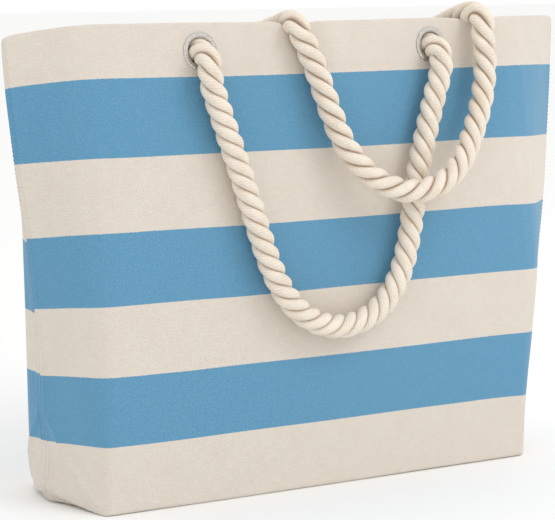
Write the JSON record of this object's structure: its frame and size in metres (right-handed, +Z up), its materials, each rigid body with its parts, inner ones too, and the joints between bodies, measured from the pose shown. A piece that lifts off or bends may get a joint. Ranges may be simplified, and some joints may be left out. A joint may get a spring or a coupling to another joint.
{
  "type": "tote bag",
  "caption": "Striped canvas tote bag standing open on a flat base, with two twisted rope handles run through metal eyelets and hanging down its front.",
  "frame": {"origin": "middle of the base, on the surface the bag stands on", "axes": "+Z up, -Y the front that both handles hang over, +X to the right seen from the front"},
  "size_m": [0.5256, 0.1621, 0.3947],
  "materials": {
    "striped_canvas": "matte plain-weave cotton canvas, natural with wide blue stripes",
    "plain_canvas": "matte natural cotton canvas",
    "seam_tape": "matte woven cotton binding",
    "nickel_plate": "nickel-plated, lightly brushed",
    "cotton_rope": "soft twisted cotton, off-white",
    "whipping_twine": "waxed cotton twine"
  },
  "bodies": {
    "bag": {"front_panel": "striped_canvas", "back_panel": "striped_canvas", "front_facing": "plain_canvas", "back_facing": "plain_canvas", "left_side_seam": "seam_tape", "right_side_seam": "seam_tape", "left_corner_seam": "seam_tape", "right_corner_seam": "seam_tape", "base_seam": "seam_tape", "front_left_eyelet": "nickel_plate", "front_right_eyelet": "nickel_plate", "back_left_eyelet": "nickel_plate", "back_right_eyelet": "nickel_plate", "front_left_washer": "nickel_plate", "front_right_washer": "nickel_plate", "back_left_washer": "nickel_plate", "back_right_washer": "nickel_plate", "front_left_rope_end": "cotton_rope", "front_right_rope_end": "cotton_rope", "back_left_rope_end": "cotton_rope", "back_right_rope_end": "cotton_rope", "front_left_knot": "cotton_rope", "front_right_knot": "cotton_rope", "back_left_knot": "cotton_rope", "back_right_knot": "cotton_rope", "front_left_tail": "cotton_rope", "front_right_tail": "cotton_rope", "back_left_tail": "cotton_rope", "back_right_tail": "cotton_rope", "front_left_whipping": "whipping_twine", "front_right_whipping": "whipping_twine", "back_left_whipping": "whipping_twine", "back_right_whipping": "whipping_twine"},
    "back_handle_legs": {"back_handle_left_leg": "cotton_rope", "back_handle_right_leg": "cotton_rope"},
    "back_handle_loop": {"back_handle_loop": "cotton_rope"},
    "front_handle_loop": {"front_handle_loop": "cotton_rope"}
  },
  "joints": [
    {"name": "back_handle_lift", "type": "hinge", "parent": "bag", "child": "back_handle_legs", "pos_m": [0, 0.05107, 0.342], "axis": [-1, 0, 0], "range_deg": [0, 70]},
    {"name": "back_handle_unfold", "type": "hinge", "parent": "back_handle_legs", "child": "back_handle_loop", "pos_m": [0, -0.0492, 0.379], "axis": [-1, 0, 0], "range_deg": [0, 85]},
    {"name": "front_handle_lift", "type": "hinge", "parent": "bag", "child": "front_handle_loop", "pos_m": [0, -0.04997, 0.35], "axis": [-1, 0, 0], "range_deg": [0, 175]}
  ],
  "couplings": [
    {"joint": "back_handle_unfold", "follows": "back_handle_lift", "ratio": 1.2143},
    {"joint": "front_handle_lift", "follows": "back_handle_lift", "ratio": 2.5}
  ]
}
